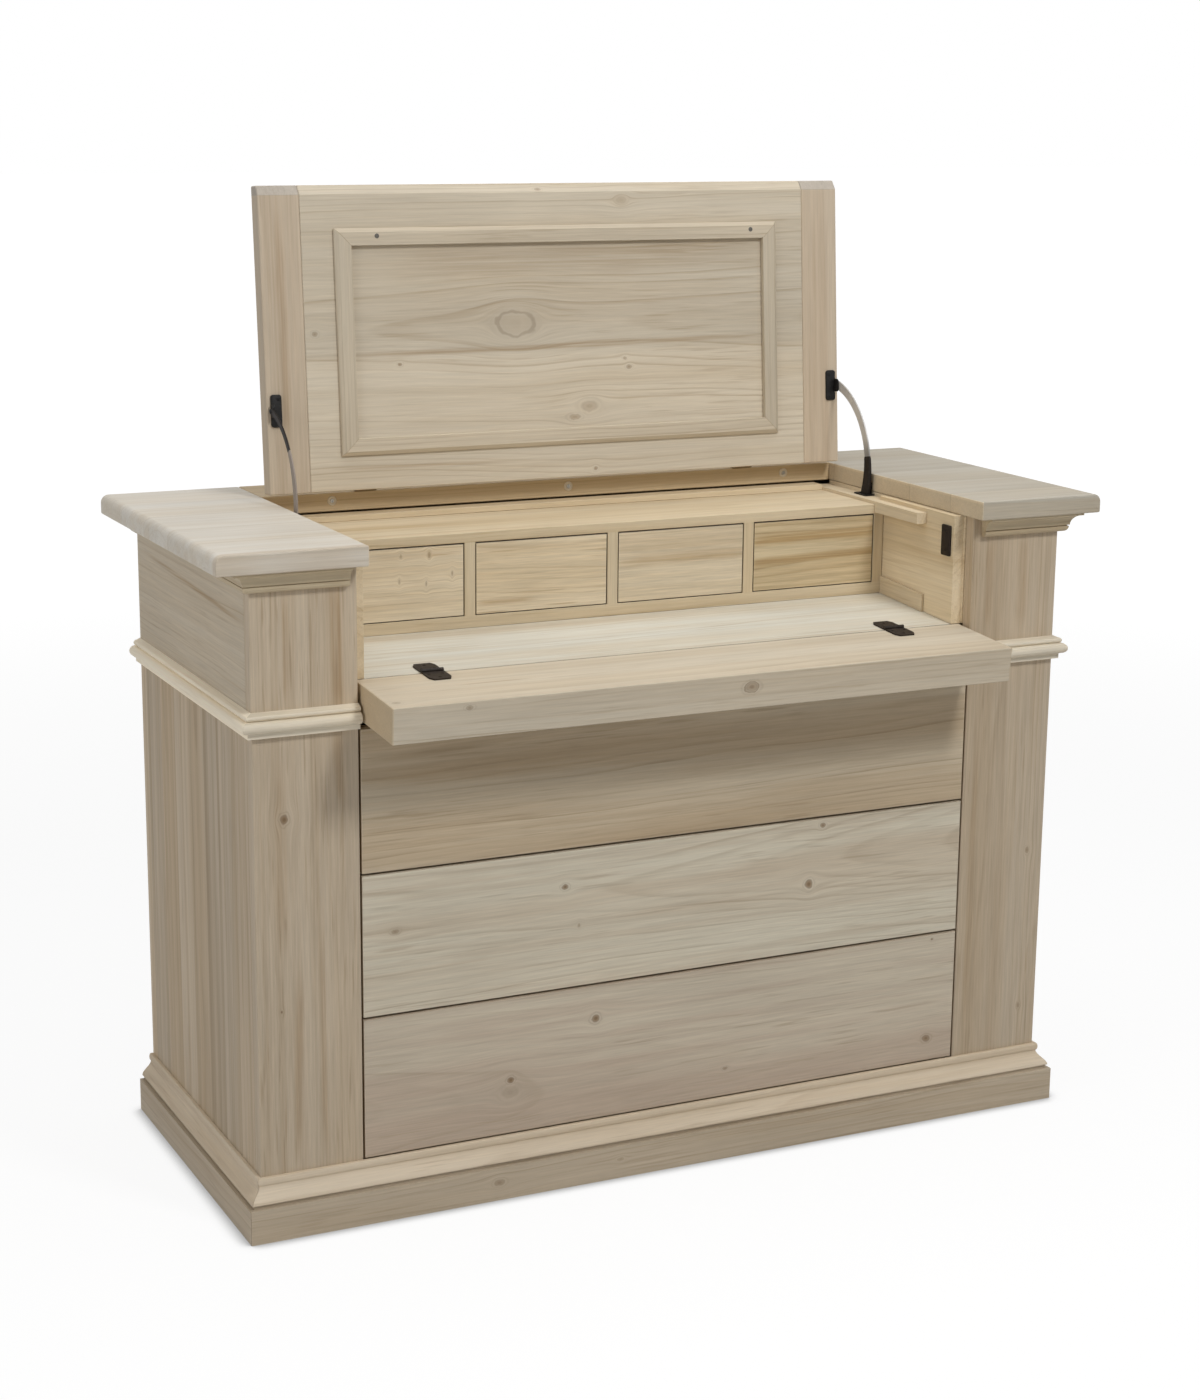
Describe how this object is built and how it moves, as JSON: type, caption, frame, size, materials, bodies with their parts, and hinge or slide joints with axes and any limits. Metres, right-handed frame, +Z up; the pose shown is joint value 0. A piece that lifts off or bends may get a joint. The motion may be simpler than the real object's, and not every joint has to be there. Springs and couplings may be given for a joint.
{
  "type": "drop-front chest of drawers",
  "caption": "Bare softwood chest of flush handleless drawers with a lifting lid on curved stays and a drop-front flap over a writing compartment with small drawers.",
  "frame": {"origin": "on the floor, at the middle of the overall box with the lid and the flap open", "axes": "+X to the right of someone who faces the chest, +Y to its back, +Z up"},
  "size_m": [1.4326, 0.6644, 1.4632],
  "materials": {
    "pale_wood": "bare, sanded",
    "warm_wood": "bare, sanded",
    "grey_wood": "bare, sanded",
    "black_metal": "satin black",
    "steel": "plain strip"
  },
  "bodies": {
    "carcass": {"base_front": "grey_wood", "base_left": "grey_wood", "base_right": "grey_wood", "bottom_panel": "pale_wood", "back_panel": "pale_wood", "side_left": "grey_wood", "side_right": "grey_wood", "upper_side_left": "grey_wood", "upper_side_right": "grey_wood", "stile_left": "pale_wood", "stile_right": "pale_wood", "waist_moulding_left": "pale_wood", "waist_moulding_right": "pale_wood", "cornice_left": "pale_wood", "cornice_right": "pale_wood", "top_slab_left": "pale_wood", "top_slab_right": "pale_wood", "hinge_rail": "warm_wood", "writing_board": "warm_wood", "apron_rail": "pale_wood", "inner_panel_left": "warm_wood", "inner_panel_right": "warm_wood", "foot_strip_left": "warm_wood", "foot_strip_right": "warm_wood", "lid_rest_left": "warm_wood", "lid_rest_right": "warm_wood", "drawer_case": "warm_wood", "case_back_strip": "warm_wood", "drawer_guide_left": "pale_wood", "drawer_guide_right": "pale_wood", "catch_plate": "black_metal", "stay_flange_left": "black_metal", "stay_flange_right": "black_metal", "flap_hinge_board_left": "black_metal", "flap_hinge_board_right": "black_metal", "lid_hinge_rail_left": "black_metal", "lid_hinge_rail_right": "black_metal"},
    "lid": {"lid_panel": "pale_wood", "lid_end_left": "pale_wood", "lid_end_right": "pale_wood", "lid_frame": "pale_wood", "stay_plate_left": "black_metal", "stay_plate_right": "black_metal", "stay_arm_left": "steel", "stay_arm_right": "steel", "lid_hinge_lid_left": "black_metal", "lid_hinge_lid_right": "black_metal"},
    "flap": {"flap_board": "pale_wood", "flap_hinge_flap_left": "black_metal", "flap_hinge_flap_right": "black_metal"},
    "large_1": {"large_front_1": "pale_wood", "large_tray_1": "warm_wood"},
    "large_2": {"large_front_2": "pale_wood", "large_tray_2": "warm_wood"},
    "large_3": {"large_front_3": "pale_wood", "large_tray_3": "warm_wood"},
    "small_1": {"small_drawer_1": "warm_wood"},
    "small_2": {"small_drawer_2": "warm_wood"},
    "small_3": {"small_drawer_3": "warm_wood"},
    "small_4": {"small_drawer_4": "warm_wood"}
  },
  "joints": [
    {"name": "lid_hinge", "type": "hinge", "parent": "carcass", "child": "lid", "pos_m": [0, 0.21724, 1.0033], "axis": [-1, 0, 0], "range_deg": [-94.5, 0]},
    {"name": "flap_hinge", "type": "hinge", "parent": "carcass", "child": "flap", "pos_m": [0, -0.18276, 0.8038], "axis": [1, 0, 0], "range_deg": [-93.7, 0]},
    {"name": "large_slide_1", "type": "slide", "parent": "carcass", "child": "large_1", "axis": [0, -1, 0], "range_m": [0, 0.36]},
    {"name": "large_slide_2", "type": "slide", "parent": "carcass", "child": "large_2", "axis": [0, -1, 0], "range_m": [0, 0.36]},
    {"name": "large_slide_3", "type": "slide", "parent": "carcass", "child": "large_3", "axis": [0, -1, 0], "range_m": [0, 0.36]},
    {"name": "small_slide_1", "type": "slide", "parent": "carcass", "child": "small_1", "axis": [0, -1, 0], "range_m": [0, 0.14]},
    {"name": "small_slide_2", "type": "slide", "parent": "carcass", "child": "small_2", "axis": [0, -1, 0], "range_m": [0, 0.14]},
    {"name": "small_slide_3", "type": "slide", "parent": "carcass", "child": "small_3", "axis": [0, -1, 0], "range_m": [0, 0.14]},
    {"name": "small_slide_4", "type": "slide", "parent": "carcass", "child": "small_4", "axis": [0, -1, 0], "range_m": [0, 0.14]}
  ]
}
